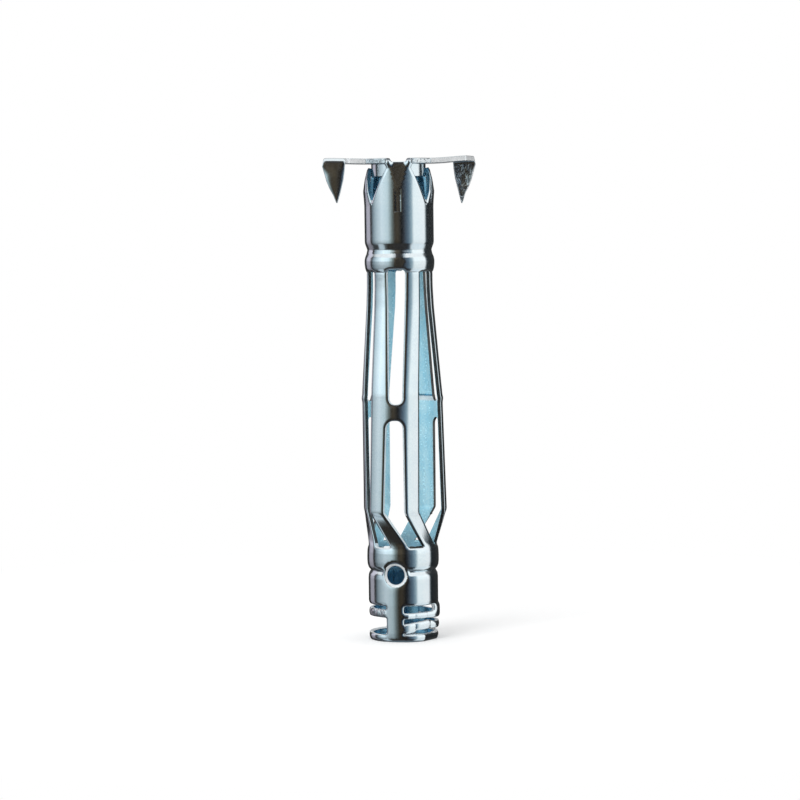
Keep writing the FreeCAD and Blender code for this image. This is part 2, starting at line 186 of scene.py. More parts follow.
PETAL_TOP = 56.12
SADDLE_HALF = 0.85
WINDOW_SILL = 51.4
WINDOW_FOOT = 3.17
BACK_SHOULDER = 3.42
BACK_SHOULDER_HEIGHT = 54.5
SIDE_PETAL_TIP = 55.45
FACET_SINK = 0.17
FACET_FOOT = 53.2
FRONT_HALF_ANGLE = 52.3
STEEPEST = 50.0
NECK_RISE = 0.22
NECK_HEIGHTS = (55.3, 56.1)
NECK_ACROSS = (0.75, 1.25)
SIDE_BULGE = [(51.0, 0.0), (51.6, 0.03), (52.7, 0.12), (54.0, -0.07), (55.5, -0.45)]


def petal_rise(angle, height, radius):
    """Radius of the sleeve's top: facets on the front and back petals, side petals that lean in."""
    facing = np.abs(wrapped(angle))
    facing = np.minimum(facing, 180 - facing)
    share = np.clip((height - FACET_FOOT) / (PETAL_TOP - FACET_FOOT), 0, 1)
    flat = SLEEVE_RADIUS - FACET_SINK * share
    facet = np.minimum(radius, flat / np.cos(np.radians(np.minimum(facing, STEEPEST))))
    across = TUBE_RADIUS * np.sin(np.radians(facing))
    neck = NECK_RISE * ramp(height, *NECK_HEIGHTS) * ramp(across, *NECK_ACROSS)
    return np.where(facing < FRONT_HALF_ANGLE, facet + neck, radius + read_off(height, SIDE_BULGE))


# Panel pressed into the front of the sleeve

PRESS_LEFT, PRESS_RIGHT = -0.615, 0.335
PRESS_FOOT, PRESS_TOP = 50.2, 53.05
PRESS_DEPTH = 0.07
CREASE = 0.035
WALL_LEFT, WALL_RIGHT, WALL_FOOT, WALL_TOP = 0.3, 0.12, 0.08, 0.9


def press_sink(angle, height):
    """Depth of the pressed panel, whose four walls are of different steepness."""
    across = unrolled(angle)
    share = np.minimum.reduce([(across - PRESS_LEFT) / WALL_LEFT, (PRESS_RIGHT - across) / WALL_RIGHT,
                               (height - PRESS_FOOT) / WALL_FOOT, (PRESS_TOP - height) / WALL_TOP])
    return PRESS_DEPTH * np.clip(share, 0, 1)


# End collar: round hole with a rolled rim, windows, thread bands and rim

HOLE_ANGLE = -13.5
HOLE_HEIGHT = 7.9
HOLE_RADIUS = 1.2
HOLE_ROLL = 0.2
HOLE_SINK = 0.1
HOLE_LEVEL = 4.09
HOLE_ZONE = 0.35
WINDOW_TOP = 4.27
RIM_HEIGHT = 0.83
BRIDGE_LEFT, BRIDGE_RIGHT = -30.8, 0.0
BACK_BRIDGE = 150.0
EAR_START, EAR_STOP = 64.0, 112.0
EAR_FOOT = 2.65
HOLE_RING = 0.17
BRIDGE_LEAN = 0.12
FACET_MIDDLE, FACET_REACH, FACET_LIMIT = 56.0, 19.0, 40.0

# How far the thread bands stand out, by degrees from the front, and how they fade at their ends
BAND_SPLIT = 2.5
FADE_BELOW, FADE_ABOVE = 0.1, 0.4
HIGH_BAND = [
    (BRIDGE_RIGHT, 0), (6, -0.05), (20, -0.34), (50, -0.30), (62, 0.0), (72, 0.19), (108, 0.17),
    (120, -0.2), (145, -0.2), (BACK_BRIDGE, 0)]
LOW_BAND = [
    (BRIDGE_RIGHT, 0), (3, -0.04), (21, -0.36), (24, -0.33), (55, -0.2), (68, 0.1), (95, 0.06),
    (115, -0.25), (145, -0.25), (BACK_BRIDGE, 0)]
LEFT_BAND = [
    (-BACK_BRIDGE, 0), (-145, -0.1), (-110, -0.12), (-80, -0.02), (-45, -0.1), (BRIDGE_LEFT, 0)]


def hole_sink(angle, height):
    """The collar's metal dips in towards the hole, like a countersink with a rolled rim."""
    away = np.hypot(unrolled(wrapped(angle) - HOLE_ANGLE), height - HOLE_HEIGHT)
    share = np.clip(1 - (away - HOLE_RADIUS) / HOLE_ROLL, 0, 1.2)
    return HOLE_SINK * share ** 1.5, away


def band_rise(angle, height):
    """The thread bands are pressed in across the windows, and stand proud at the side."""
    turned = np.where(angle < COLLAR_SEAM - 360 + 1e-6, angle + 360, angle)
    right = np.where(height > BAND_SPLIT, read_off(turned, HIGH_BAND), read_off(turned, LOW_BAND))
    left = np.where(turned < BRIDGE_LEFT, read_off(turned, LEFT_BAND), 0)
    rise = np.where(turned > BRIDGE_RIGHT, right, left)
    fade = np.clip((WINDOW_TOP - height) / FADE_ABOVE, 0, 1)
    fade = fade * np.clip((height - RIM_HEIGHT) / FADE_BELOW, 0, 1)
    return np.where((height > RIM_HEIGHT) & (height < WINDOW_TOP), rise * fade, 0)


def rim_facet(angle, height, radius):
    """The rim is flattened at the right of the front."""
    off = np.abs(wrapped(angle - FACET_MIDDLE))
    near = (off < FACET_LIMIT) & (height < RIM_HEIGHT + 0.02)
    chord = radius * math.cos(math.radians(FACET_REACH)) / np.cos(np.radians(np.minimum(off, STEEPEST)))
    return np.where(near, np.minimum(radius, chord), radius)


def station(height, values):
    """A value of the cage at a height, between those given at its stations."""
    return np.interp(height, CAGE_HEIGHTS, values)


def on_ring(angle, radius, height):
    """Point at an angle, a distance from the axis and a height."""
    turned = np.radians(angle)
    return np.stack([radius * np.sin(turned), -radius * np.cos(turned), height], axis=-1)


def sleeve_point(angle, height):
    """Middle of the sheet on the sleeve."""
    radius = np.interp(height, *SLEEVE_TABLE)
    radius = petal_rise(angle, height, radius) - press_sink(angle, height) - GAUGE / 2
    return on_ring(angle, radius, height)


def collar_point(angle, height):
    """Middle of the sheet on the end collar."""
    radius = np.interp(height, *COLLAR_TABLE)
    sink, away = hole_sink(angle, height)
    near = np.clip((HOLE_RADIUS + HOLE_ROLL + HOLE_ZONE - away) / HOLE_ZONE, 0, 1)
    radius = radius + (HOLE_LEVEL - radius) * near - sink
    bridge = (angle > BRIDGE_LEFT - 1) & (angle < BRIDGE_RIGHT + 1)
    radius = radius - np.where(bridge, BRIDGE_LEAN * np.clip(1 - height / WINDOW_TOP, 0, 1), 0)
    radius = rim_facet(angle, height, radius) + band_rise(angle, height) - GAUGE / 2
    return on_ring(angle, radius, height)


def panel_point(panel, share, height):
    """Middle of the sheet on a panel; share runs from -1 at its left edge to 1 at its right edge."""
    out = station(height, CAGE_OUT)
    shift = station(height, CAGE_SHIFT)
    turned = station(height, CAGE_TURN) + share * station(height, CAGE_HALF)
    radius = np.where(height > BEAD_FOOT, np.interp(height, *SLEEVE_TABLE), CAGE_RADIUS) - GAUGE / 2
    # a pressed crease crosses the two back panels at the knee
    near = np.clip(np.abs(height - RIDGE_HEIGHT) / RIDGE_REACH, 0, 1)
    radius = radius + np.where(panel == 0, 0.0, RIDGE_RISE) * (1 + np.cos(math.pi * near)) / 2
    right = shift + radius * np.sin(np.radians(turned))
    front = -(out + radius * np.cos(np.radians(turned)))
    spin = np.radians(120.0 * panel)
    return np.stack([right * np.cos(spin) - front * np.sin(spin),
                     right * np.sin(spin) + front * np.cos(spin), height], axis=-1)


def leg_share(share):
    """Which leg a share belongs to, and the place across it from 0 to 1."""
    side = (share > LEG_SPLIT).astype(int)
    first, last = LEG_SHARES[side, 0], LEG_SHARES[side, 1]
    return side, (share - first) / (last - first)


def foot_angle(panel, side, place):
    """Angle on the end collar where a leg ends, at a place across it."""
    return 120.0 * panel + FOOT_TURN + FOOT_PITCH * side + (2 * place - 1) * FOOT_HALF_ANGLE


def cage_point(panel, share, height):
    """Middle of the sheet along the metal, from the bead down a panel and a leg into the collar."""
    side, place = leg_share(share)
    foot = foot_angle(panel, side, place)
    upper = panel_point(panel, share, np.maximum(height, ANKLE))
    lower = collar_point(foot, np.minimum(height, FOOT))
    fall = np.clip((ANKLE - height) / (ANKLE - FOOT), 0, 1)[..., None]
    point = upper * (1 - fall) + lower * fall
    # between its folds a leg is flat across
    ends = []
    for corner in (0, 1):
        top = panel_point(panel, LEG_SHARES[side, corner], np.full(height.shape, ANKLE))
        toe = collar_point(foot_angle(panel, side, corner), np.full(height.shape, FOOT))
        ends.append(top * (1 - fall) + toe * fall)
    chord = ends[0] * (1 - place[..., None]) + ends[1] * place[..., None]
    flat = LEG_FLAT * ramp(fall, *FLAT_FROM) * (1 - ramp(fall, *FLAT_UNTIL))
    flat = flat * (np.abs(place - 0.5) < LEG_MARGIN)[..., None]
    point = point * (1 - flat) + chord * flat
    point[..., 0] -= read_off(height, CAGE_LEAN)
    point[..., 2] = height
    return point


def folded_point(panel, share, height, blend):
    """A point of the cage, with its folds rounded by averaging along the metal."""
    total = 0
    for offset in np.linspace(-1, 1, FOLD_SAMPLES):
        total = total + cage_point(panel, share, height + offset * blend)
    point = total / FOLD_SAMPLES
    point[..., 2] = height
    return point


def leg_edges(side, fall):
    """Angles of a front leg's two edges, as far down from ankle to foot as fall says."""
    edges = []
    for share, place in ((LEG_SHARES[side][0], 0), (LEG_SHARES[side][1], 1)):
        ankle = CAGE_TURN[0] + share * CAGE_HALF[0]
        edges.append(ankle * (1 - fall) + foot_angle(0, side, place) * fall)
    return edges


def tube_point(across, height):
    """Middle of the sheet for a point of the flat blank, by its length round and its height."""
    across, height = np.broadcast_arrays(np.asarray(across, float), np.asarray(height, float))
    angle = angle_of(across)
    upper = (height > MIDDLE_HEIGHT)[..., None]
    point = np.where(upper, sleeve_point(angle, height), collar_point(angle, height))
    cage = (height > ANKLE) & (height < CAGE_TOP + 0.3)
    turned = station(height, CAGE_TURN)
    panel = np.clip(np.round((angle - turned) / 120.0), -1, 1)
    share = (angle - 120.0 * panel - turned) / station(height, CAGE_HALF)
    blend = FOLD_BLEND * np.clip(FOLD_TOP - height, 0, 1)
    blend = blend + BEND_BLEND * np.exp(-((height - BEND_HEIGHT) / BEND_REACH) ** 2)
    folded = folded_point(panel, share, height, blend)
    point = np.where((cage & (np.abs(share) < 1.2))[..., None], folded, point)
    # legs, each found by the nearest strip of the blank
    leg_zone = (height <= ANKLE) & (height > FOOT - FOLD_BLEND)
    fall = np.clip((ANKLE - height) / (ANKLE - FOOT), 0, 1)
    best = np.full(angle.shape, np.inf)
    for number, side in ((-1, 0), (-1, 1), (0, 0), (0, 1), (1, 0), (1, 1)):
        first, last = leg_edges(side, fall)
        place = (angle - first - 120.0 * number) / (last - first)
        off = np.abs(place - 0.5)
        low, high = LEG_SHARES[side]
        strip = folded_point(number, low + place * (high - low), height, FOLD_BLEND)
        nearer = leg_zone & (off < best)
        point = np.where((nearer & ((height > FOOT) | (off < FOOT_MARGIN)))[..., None], strip, point)
        best = np.where(nearer, off, best)
    return point


# Flat outlines

def round_corners(corners, step=EDGE_STEP):
    """A closed line through (across, up, radius) corners, each rounded, its sides split at the step."""
    spots = [np.array(corner[:2], float) for corner in corners]
    line = []
    for index, corner in enumerate(corners):
        here, radius = spots[index], corner[2]
        before, after = spots[index - 1], spots[(index + 1) % len(spots)]
        back = (before - here) / np.linalg.norm(before - here)
        ahead = (after - here) / np.linalg.norm(after - here)
        half = math.acos(max(-1.0, min(1.0, float(back @ ahead)))) / 2
        if radius <= 0 or half > math.radians(88):
            line.append(here)
            continue
        room = 0.48 * min(np.linalg.norm(before - here), np.linalg.norm(after - here))
        reach = min(radius / math.tan(half), room)
        radius = reach * math.tan(half)
        centre = here + (back + ahead) / np.linalg.norm(back + ahead) * radius / math.sin(half)
        start = here + back * reach - centre
        turn = math.pi - 2 * half
        hand = np.sign(-back[0] * ahead[1] + back[1] * ahead[0])
        count = max(3, int(turn * radius / (step * 0.6)) + 2)
        for angle in np.linspace(0, hand * turn, count):
            cos, sin = math.cos(angle), math.sin(angle)
            turned = [start[0] * cos - start[1] * sin, start[0] * sin + start[1] * cos]
            line.append(centre + np.array(turned))
    closed = []
    for index, spot in enumerate(line):
        following = line[(index + 1) % len(line)]
        pieces = max(1, int(math.ceil(np.linalg.norm(following - spot) / step)))
        for piece in range(pieces):
            closed.append(spot + (following - spot) * piece / pieces)
    loop = np.array(closed)
    keep = np.linalg.norm(loop - np.roll(loop, 1, axis=0), axis=1) > 1e-4
    return loop[keep]


def panel_angle(x, height):
    """Angle on the front panel that shows at x from the front."""
    shift = station(height, CAGE_SHIFT)
    return math.degrees(math.asin((x - shift) / CAGE_RADIUS))


def at(angle, height, radius=0.0):
    """Corner of a flat outline at an angle and a height, with the radius that rounds it."""
    return (unrolled(angle), height, radius)


GAP_CORNER = 0.35
SLOT_TRIMS = {-1: 0.0, 0: 0.0, 1: 0.36}
UPPER_FOOT, UPPER_HEAD = 27.95, 43.62
UPPER_LEFT, UPPER_RIGHT = (-1.58, -1.33), (0.72, 0.34)
UPPER_CORNERS = (0.5, 0.78)
LOWER_HEAD = 26.05
LOWER_LEFT, LOWER_RIGHT = -1.72, 0.36
LOWER_CORNER = 0.95
LEG_LEAD = 2.5


def panel_edge(side, panel):
    """Points down a panel's left (-1) or right (1) edge, from the ring to the collar."""
    leg = 0 if side < 0 else 1
    points = []
    for height in np.linspace(CAGE_TOP, ANKLE, 30):
        spread = read_off(height, LEFT_SPREAD) if side < 0 else 0
        angle = 120.0 * panel + station(height, CAGE_TURN) + side * station(height, CAGE_HALF) - spread
        points.append(at(angle, height, 0.0 if points else GAP_CORNER))
    for fall in np.linspace(0.08, 0.9, 10):
        height = ANKLE - fall * (ANKLE - FOOT)
        spread = read_off(height, LEFT_SPREAD) if side < 0 else 0
        points.append(at(leg_edges(leg, fall)[leg] + 120.0 * panel - spread, height))
    points.append(at(leg_edges(leg, 1.0)[leg] + 120.0 * panel, FOOT, GAP_CORNER))
    return points


def gap_between(panel):
    """Gap from a panel's right edge to the next panel's left edge."""
    return round_corners(panel_edge(1, panel) + panel_edge(-1, panel + 1)[::-1])


def on_panel(points, panel):
    """The outline through the front panel's points, moved to a panel and rounded."""
    return round_corners([(u + unrolled(120.0 * panel), v, radius) for u, v, radius in points])


def upper_slot(panel):
    """Slot between a panel's straps, above its web."""
    points = []
    for ends, trim, way in ((UPPER_LEFT, 0, 1), (UPPER_RIGHT, SLOT_TRIMS[panel], -1)):
        for share in [0.0, *np.linspace(0.1, 0.9, 12), 1.0][::way]:
            height = UPPER_HEAD + (UPPER_FOOT - UPPER_HEAD) * share
            x = ends[0] + (ends[1] - ends[0]) * share - trim
            corner = {0.0: UPPER_CORNERS[0], 1.0: UPPER_CORNERS[1]}.get(share, 0.0)
            points.append(at(panel_angle(x, height), height, corner))
    return on_panel(points, panel)


def lower_slot(panel):
    """Slot below a panel's web, which runs on between its legs."""
    trim = SLOT_TRIMS[panel]
    lead = LEG_LEAD + angle_of(trim)
    head_left = panel_angle(LOWER_LEFT, LOWER_HEAD)
    head_right = panel_angle(LOWER_RIGHT - trim, LOWER_HEAD)
    ankle_left = leg_edges(0, 0.0)[1]
    ankle_right = leg_edges(1, 0.0)[0] - lead
    left, right = [], []
    for fall in np.linspace(1.0, 0.08, 11):
        height = ANKLE - fall * (ANKLE - FOOT)
        corner = GAP_CORNER if fall == 1.0 else 0.0
        left.append(at(leg_edges(0, fall)[1], height, corner))
        right.append(at(leg_edges(1, fall)[0] - lead * (1 - fall), height, corner))
    for share in np.linspace(0, 0.8, 12):
        height = ANKLE + (LOWER_HEAD - ANKLE) * share
        left.append(at(ankle_left + (head_left - ankle_left) * share, height))
        right.append(at(ankle_right + (head_right - ankle_right) * share, height))
    head = [at(angle, LOWER_HEAD, LOWER_CORNER) for angle in (head_left, head_right)]
    return on_panel(left + head + right[::-1], panel)


def petal_quarter(shoulder):
    """Top outline from the middle of the front or back to the middle of the side."""
    petal = [(SADDLE_HALF, PETAL_TOP, 0.2), (1.1, 56.3, 0.1), (1.72, 56.3, 0.1), (1.62, 55.95, 0.1),
             (1.42, 55.5, 0.5), *shoulder, (WINDOW_FOOT, WINDOW_SILL + 0.1, 0.16)]
    side = [(53.5, WINDOW_SILL + 0.1, 0.16), (61.0, 52.7, 1.5), (78.0, 55.0, 0.6),
            (84.0, SIDE_PETAL_TIP, 0.25)]
    turned = [(math.degrees(math.asin(x / TUBE_RADIUS)), *rest) for x, *rest in petal]
    return [at(*corner) for corner in turned + side]


def whole_outline():
    """Outline of the blank: seams at its two ends, petals on top, the rim below."""
    front = petal_quarter([])
    back = petal_quarter([(BACK_SHOULDER, BACK_SHOULDER_HEIGHT, 0.3)])
    turn, seam, collar = unrolled((360.0, SLEEVE_SEAM, COLLAR_SEAM))
    half = front + [(turn / 2 - u, v, radius) for u, v, radius in reversed(back)]
    corners = [(seam, PETAL_TOP, 0.0)] + half[::-1]
    corners += [(-u, v, radius) for u, v, radius in half]
    corners += [(seam - turn, PETAL_TOP, 0.0), (seam - turn, CAGE_TOP, SEAM_CORNER)]
    corners += panel_edge(-1, -1)
    corners += [(collar - turn, FOOT, 0.1), (collar - turn, 0.0, 0.0), (collar, 0.0, 0.0),
                (collar, FOOT, 0.1)]
    corners += panel_edge(1, 1)[::-1] + [(seam, CAGE_TOP, SEAM_CORNER)]
    return round_corners(corners)


def hole_circle(radius):
    """Circle round the middle of the relief hole."""
    turns = np.linspace(0, 2 * math.pi, 48, endpoint=False)
    centre = np.array([unrolled(HOLE_ANGLE), HOLE_HEIGHT])
    return centre + radius * np.stack([np.cos(turns), np.sin(turns)], axis=1)


def end_windows():
    """Openings of the end collar, left clear by the thread bands."""
    right_top = [(BRIDGE_RIGHT, 3.38, 0.2), (20, 3.36), (EAR_START, 3.4, 0.3),
                 (EAR_START, WINDOW_TOP, 0.25), (BRIDGE_RIGHT, WINDOW_TOP, 0.3)]
    back_top = [(EAR_STOP, 3.3, 0.3), (BACK_BRIDGE, 3.4, 0.3), (BACK_BRIDGE, WINDOW_TOP, 0.3),
                (EAR_STOP, WINDOW_TOP, 0.3)]
    right_middle = [(BRIDGE_RIGHT, 2.08, 0.08), (22, 2.24), (52, 2.42), (72, 2.12), (100, 2.2),
                    (BACK_BRIDGE, 2.2, 0.2), (BACK_BRIDGE, 2.65, 0.2), (EAR_STOP, EAR_FOOT),
                    (72, EAR_FOOT), (56, 2.66), (22, 2.72), (BRIDGE_RIGHT, 2.72, 0.2)]
    right_low = [(BRIDGE_RIGHT, RIM_HEIGHT, 0.2), (BACK_BRIDGE, RIM_HEIGHT, 0.3),
                 (BACK_BRIDGE, 1.3, 0.2), (90, 1.35), (54, 1.42), (24, 1.3, 0.1), (20, 1.02, 0.1),
                 (BRIDGE_RIGHT, 1.0, 0.08)]
    left_top = [(-BACK_BRIDGE, 3.75, 0.2), (BRIDGE_LEFT, 3.78, 0.2), (BRIDGE_LEFT, WINDOW_TOP, 0.25),
                (-BACK_BRIDGE, WINDOW_TOP, 0.25)]
    left_low = [(-BACK_BRIDGE, RIM_HEIGHT, 0.3), (BRIDGE_LEFT, RIM_HEIGHT, 0.35),
                (BRIDGE_LEFT, 2.85, 0.15), (-BACK_BRIDGE, 2.85, 0.2)]
    return [round_corners([at(*corner) for corner in window])
            for window in (right_top, back_top, right_middle, right_low, left_top, left_low)]


def press_creases():
    """Lines along the creases of the pressed panel and close beside them, in the blank."""
    lines = []
    for past, beside in ((0, -CREASE), (0, 0), (1, 0), (1, CREASE)):
        left = PRESS_LEFT + past * WALL_LEFT + beside
        right = PRESS_RIGHT - past * WALL_RIGHT - beside
        foot = PRESS_FOOT + past * WALL_FOOT + beside
        top = PRESS_TOP - past * WALL_TOP - beside
        corners = [(left, foot, 0), (right, foot, 0), (right, top, 0), (left, top, 0)]
        lines.append(round_corners(corners, 0.15))
    return lines


# Sheet with thickness from a flat drawing

def turned_left(loop):
    """The loop run anticlockwise."""
    following = np.roll(loop, -1, axis=0)
    area = np.sum(loop[:, 0] * following[:, 1] - following[:, 0] * loop[:, 1])
    return loop if area > 0 else loop[::-1]


def unit(ways):
    """The ways, each of length one."""
    return ways / np.linalg.norm(ways, axis=1)[:, None]


def moved_in(loop, width):
    """The loop moved to its left by the width."""
    back = unit(loop - np.roll(loop, 1, axis=0))
    ahead = unit(np.roll(loop, -1, axis=0) - loop)
    left_back = np.stack([-back[:, 1], back[:, 0]], axis=1)
    left_ahead = np.stack([-ahead[:, 1], ahead[:, 0]], axis=1)
    along = np.maximum(1 + np.sum(left_back * left_ahead, axis=1), 0.5)
    return loop + width * (left_back + left_ahead) / along[:, None]


def covered(points, loops):
    """Which points lie in the outline and outside its holes."""
    inside = np.zeros(len(points), bool)
    x, y = points[:, 0], points[:, 1]
    for loop in loops:
        for start, stop in zip(loop, np.roll(loop, -1, axis=0)):
            if start[1] == stop[1]:
                continue
            crosses = (start[1] > y) != (stop[1] > y)
            reach = start[0] + (y - start[1]) * (stop[0] - start[0]) / (stop[1] - start[1])
            inside ^= crosses & (x < reach)
    return inside


def tree_of(spots):
    """Search tree over flat points."""
    tree = KDTree(len(spots))
    for index, spot in enumerate(spots):
        tree.insert((spot[0], spot[1], 0), index)
    tree.balance()
    return tree


def nearest(tree, spot):
    """Number of the tree's point nearest to a flat spot, and how far it is away."""
    return tree.find((spot[0], spot[1], 0))[1:]


def thinned(beside, taken, lattice):
    """The points beside the edges and those of the lattice, without any too near to others."""
    tree = tree_of(taken)
    beside = np.array([spot for spot in beside if nearest(tree, spot)[1] > CLEAR_OF_EDGE])
    clear = [nearest(tree, spot)[1] > CLEAR_SHARE * spot[2] for spot in lattice]
    tree = tree_of(beside)
    kept = [spot for spot in lattice[clear][:, :2] if nearest(tree, spot)[1] > CLEAR_OF_ROWS]
    return np.concatenate([beside, np.array(kept)])


def split_finely(loop):
    """The loop with points added along each of its sides."""
    following = np.roll(loop, -1, axis=0)
    shares = np.arange(FINE_STEPS)[None, :, None] / FINE_STEPS
    return (loop[:, None] * (1 - shares) + following[:, None] * shares).reshape(-1, 2)


def flat_mesh(loops, inner, creases, lattice):
    """Points of the blank, its triangles, and the numbers of the points along each edge."""
    lines = inner + creases
    flat = np.concatenate(lines)
    starts = [sum(len(line) for line in lines[:number]) for number in range(len(lines))]
    edges = [(start + i, start + (i + 1) % len(line))
             for start, line in zip(starts, lines) for i in range(len(line))]
    rows_beside = [moved_in(loop, width) for loop in loops for width in ROLL_ROWS]
    lattice = thinned(np.concatenate(rows_beside), flat, lattice)
    lattice = lattice[covered(lattice, inner)]
    points = [Vector(spot) for spot in np.concatenate([flat, lattice])]
    spots, _, triangles, sources, _, _ = delaunay_2d_cdt(points, edges, [], 0, 1e-6)
    spots = np.array([tuple(spot) for spot in spots])
    triangles = np.array(triangles)
    triangles = triangles[covered(spots[triangles].mean(axis=1), inner)]
    place_of = {number: index for index, source in enumerate(sources) for number in source}
    rims = [np.array([place_of[start + i] for i in range(len(loop))])
            for start, loop in zip(starts, inner)]
    return spots, triangles, rims


def bent(locate, flat_points):
    """Where flat points come to lie in the middle of the bent sheet, and the way out of it there."""
    u, v = flat_points[:, 0], flat_points[:, 1]
    along = locate(u + SLOPE_STEP, v) - locate(u - SLOPE_STEP, v)
    up = locate(u, v + SLOPE_STEP) - locate(u, v - SLOPE_STEP)
    return locate(u, v), unit(np.cross(along, up))


def level_with(ways, normal):
    """The ways without what leads out of the sheet."""
    return ways - normal * np.sum(ways * normal, axis=1)[:, None]


def rolled_over(loops, locate, spots, middle, normal, drop):
    """How far the outside sinks towards the nearest edge, and the way it faces there."""
    edge_flat = np.concatenate([split_finely(loop) for loop in loops])
    edge_spots = bent(locate, edge_flat)[0]
    tree = tree_of(edge_flat)
    near, away = zip(*[nearest(tree, spot) for spot in spots])
    share = np.clip(1 - (np.array(away) - EDGE_ROUND) / ROLL_WIDTH, 0, 1)
    towards = level_with(edge_spots[list(near)] - middle, normal)
    towards = towards / np.maximum(np.linalg.norm(towards, axis=1), 1e-6)[:, None]
    slope = 2 * drop / ROLL_WIDTH * share
    return drop * share ** 2, unit(normal + towards * slope[:, None])


def cut_edge(loop, locate, skin_middle, gauge, drop):
    """Rows of points round a cut edge from the outside to the inside, and their normals."""
    edge_middle, edge_normal = bent(locate, loop)
    outward = unit(level_with(edge_middle - skin_middle, edge_normal))
    rows, normals = [], []
    for side, angles in EDGE_TURNS:
        for angle in angles:
            turn = math.radians(angle)
            level = side * (gauge / 2 - EDGE_ROUND + EDGE_ROUND * math.sin(turn))
            level -= drop if side > 0 else 0
            share = 1 - math.cos(turn)
            rows.append(edge_middle * (1 - share) + skin_middle * share + edge_normal * level)
            normals.append(outward * math.cos(turn) + edge_normal * side * math.sin(turn))
    return rows, normals


def sheet_mesh(outline, holes, creases, lattice, locate, gauge=GAUGE, drop=ROLL_DROP):
    """Vertices, faces, the finish of each face and the normal of each vertex of a bent sheet."""
    loops = [turned_left(outline)] + [turned_left(hole)[::-1] for hole in holes]
    inner = [moved_in(loop, EDGE_ROUND) for loop in loops]
    spots, triangles, rims = flat_mesh(loops, inner, creases, lattice)
    middle, normal = bent(locate, spots)
    sunk, rolled = rolled_over(loops, locate, spots, middle, normal, drop)
    vertices = [middle + normal * (gauge / 2 - sunk)[:, None], middle - normal * gauge / 2]
    normals = [rolled, -normal]
    count = len(spots)
    faces = [*triangles, *(triangles[:, [0, 2, 1]] + count)]
    kinds = [OUTSIDE] * len(triangles) + [INSIDE] * len(triangles)
    start = 2 * count
    for loop, rim in zip(loops, rims):
        edge_rows, edge_normals = cut_edge(loop, locate, middle[rim], gauge, drop)
        vertices += edge_rows
        normals += edge_normals
        rows = [rim]
        for _ in edge_rows:
            rows.append(start + np.arange(len(loop)))
            start += len(loop)
        rows.append(rim + count)
        for kind, upper, lower in zip(EDGE_KINDS, rows, rows[1:]):
            faces += zip(upper, lower, np.roll(lower, -1), np.roll(upper, -1))
            kinds += [kind] * len(loop)
    return np.concatenate(vertices), faces, kinds, np.concatenate(normals)


def grid(rows, left, right, step):
    """Lattice of points with their spacing, row by row, every other row moved by half a step."""
    points = []
    for index, (height, spacing) in enumerate(rows):
        start = left + (step / 2 if index % 2 else 0)
        for across in np.arange(start, right, step):
            points.append((across, height, min(step, max(spacing, CLOSEST_ROWS))))
    return points


def row_heights(spans):
    """Heights and spacings of the lattice's rows, from spans of (low, high, step)."""
    rows = []
    for low, high, step in spans:
        count = max(1, round((high - low) / step))
        rows += [(low + (high - low) * i / count, (high - low) / count) for i in range(count)]
    return rows


TUBE_ROWS = row_heights([
    (0.0, 1.1, 0.1), (1.1, 4.4, 0.16), (4.4, 7.2, 0.35), (7.2, 9.3, 0.085), (9.3, 11.6, 0.16),
    (11.6, 14.8, 0.3), (14.8, 15.8, 0.12), (15.8, 27.9, 0.5), (27.9, 29.7, 0.1), (29.7, 39.7, 0.5),
    (39.7, 40.9, 0.2), (40.9, 42.6, 0.4), (42.6, 47.1, 0.075), (47.1, 50.0, 0.35), (50.0, 56.5, 0.18)])
TUBE_SPAN = (-200.0, 205.0)
CREASES_PAST_HOLE = (0, 0.1, 0.22, 0.36)


def anchor_tube():
    """Sleeve, cage and end collar: one sheet with its seams at the back."""
    holes = [hole_circle(HOLE_RADIUS)] + end_windows()
    for panel in (-1, 0, 1):
        holes += [upper_slot(panel), lower_slot(panel)]
    holes += [gap_between(-1), gap_between(0)]
    creases = press_creases()
    creases += [hole_circle(HOLE_RADIUS + HOLE_RING + past) for past in CREASES_PAST_HOLE]
    lattice = np.array(grid(TUBE_ROWS, *unrolled(TUBE_SPAN), ACROSS_STEP))
    return sheet_mesh(whole_outline(), holes, creases, lattice, tube_point)


# Flange half: a half plate with its arm, a lip bent down into the tube and a claw

FLANGE_RADIUS = 4.3
ARM_REACH = 8.97
ARM_STEP = 1.2
ARM_HALF = 2.2
PLATE_GAUGE = 0.64
PLATE_ROLL = 0.02
PLATE_MIDDLE = TOTAL_HEIGHT + 0.06 - PLATE_GAUGE / 2
BEND = 0.42
LIP_RADIUS = 3.15 - GAUGE / 2
LIP_DROP = 2.1
LIP_HALF_ANGLE = 70.0
CLAW_LEFT = ARM_REACH - 2.7
CLAW_OUTER = ((54.6, 8.66), (53.8, 8.45), (53.0, 8.14), (52.2, 7.72))
CLAW_TIP = 7.3
CLAW_INNER = ((52.6, 6.88), (54.0, 6.55))
CLAW_BOW = 0.16
HALVES_APART = 1.42
BORE_EDGE = LIP_RADIUS + BEND
CLAW_FOLD = ARM_HALF - GAUGE / 2 - BEND
BEND_LENGTH = BEND * math.pi / 2
LIP_END = BORE_EDGE - BEND_LENGTH - (LIP_DROP - GAUGE / 2 - BEND)
PLATE_STEP = 0.28

# How far each arm is bent up and drawn out, and the reach of its claw below the plate's top
RIGHT_ARM = (0.24, 0.14, 5.5)
LEFT_ARM = (0.12, -0.1, 5.3)


def bent_down(past):
    """Distance beyond a fold and drop below the plate, for a length of sheet past the fold."""
    turn = np.clip(past / BEND, 0, math.pi / 2)
    straight = np.maximum(past - BEND_LENGTH, 0)
    return BEND * np.sin(turn), BEND * (1 - np.cos(turn)) + straight


